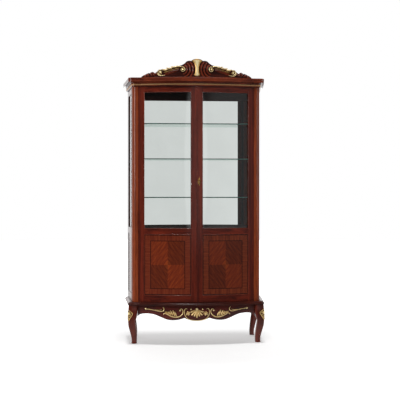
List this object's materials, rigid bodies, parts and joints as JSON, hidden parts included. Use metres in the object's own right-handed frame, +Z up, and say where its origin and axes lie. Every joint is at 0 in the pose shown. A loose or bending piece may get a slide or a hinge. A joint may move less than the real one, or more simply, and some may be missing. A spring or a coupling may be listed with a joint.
{
  "type": "display cabinet",
  "caption": "Free-standing bow-fronted display cabinet with two hinged doors, glazed and mirrored above a panelled cupboard, with a carved crest and apron on scroll legs",
  "frame": {"origin": "centre of the bounding box on the floor, under the feet", "axes": "X to the right seen from the front, Y from the doors to the back, Z up; the doors face -Y"},
  "size_m": [1.174, 0.4676, 2.245],
  "materials": {
    "mahogany": "gloss lacquer",
    "dark_mahogany": "gloss lacquer",
    "veneer": "gloss lacquer",
    "gilding": "gold leaf",
    "brass": "satin",
    "steel": "satin",
    "glass": "clear",
    "mirror": "polished"
  },
  "bodies": {
    "carcass": {"foot_glides": "steel", "front_leg_left": "mahogany", "front_leg_right": "mahogany", "rear_legs": "dark_mahogany", "knee_carvings": "gilding", "front_apron": "mahogany", "apron_carving": "gilding", "side_aprons": "dark_mahogany", "rear_rail": "dark_mahogany", "corner_blocks": "veneer", "base_board": "dark_mahogany", "base_moulding_front": "dark_mahogany", "base_moulding_sides": "dark_mahogany", "corner_post_left": "mahogany", "corner_post_right": "mahogany", "rear_posts": "dark_mahogany", "side_rails_left": "mahogany", "side_rails_right": "mahogany", "side_glass": "glass", "side_panels": "veneer", "side_beads": "mahogany", "display_floor": "mahogany", "mirror_glass": "mirror", "back_boards": "dark_mahogany", "back_rails": "dark_mahogany", "glass_shelf_upper": "glass", "glass_shelf_middle": "glass", "glass_shelf_lower": "glass", "wooden_shelf": "veneer", "shelf_pins": "brass", "top_board": "dark_mahogany", "cornice_front": "mahogany", "cornice_sides": "mahogany", "cornice_gilt_bead": "gilding", "cornice_panel": "dark_mahogany", "crest_board": "dark_mahogany", "crest_carving": "gilding", "pivot_sockets": "brass"},
    "left_door": {"left_door_outer_stile": "mahogany", "left_door_meeting_stile": "mahogany", "left_door_rails": "mahogany", "left_door_glass": "glass", "left_door_panel": "veneer", "left_door_beads": "mahogany", "left_door_pivots": "brass", "lock_strike": "brass", "bolt_guides": "brass"},
    "right_door": {"right_door_outer_stile": "mahogany", "right_door_meeting_stile": "mahogany", "right_door_rails": "mahogany", "right_door_glass": "glass", "right_door_panel": "veneer", "right_door_beads": "mahogany", "right_door_pivots": "brass", "escutcheon": "brass", "lock_case": "brass"},
    "top_bolt": {"top_bolt": "brass"},
    "bottom_bolt": {"bottom_bolt": "brass"},
    "lock_follower": {"lock_follower": "steel"},
    "lock_bolt": {"lock_bolt": "steel"}
  },
  "joints": [
    {"name": "left_door_hinge", "type": "hinge", "parent": "carcass", "child": "left_door", "pos_m": [-0.4475, -0.12369, 1.18375], "axis": [0, 0, -1], "range_deg": [0, 105]},
    {"name": "right_door_hinge", "type": "hinge", "parent": "carcass", "child": "right_door", "pos_m": [0.4475, -0.12369, 1.18375], "axis": [0, 0, 1], "range_deg": [0, 105]},
    {"name": "top_bolt_slide", "type": "slide", "parent": "left_door", "child": "top_bolt", "axis": [0, 0, 1], "range_m": [0, 0.012]},
    {"name": "bottom_bolt_slide", "type": "slide", "parent": "left_door", "child": "bottom_bolt", "axis": [0, 0, -1], "range_m": [0, 0.012]},
    {"name": "lock_follower_turn", "type": "hinge", "parent": "right_door", "child": "lock_follower", "pos_m": [0.018, -0.18165, 1.283], "axis": [0, -1, 0], "range_deg": [0, 90]},
    {"name": "lock_bolt_slide", "type": "slide", "parent": "right_door", "child": "lock_bolt", "axis": [-1, 0, 0], "range_m": [0, 0.008]}
  ],
  "couplings": [
    {"joint": "lock_bolt_slide", "follows": "lock_follower_turn", "m_per_rad": 0.005092}
  ]
}
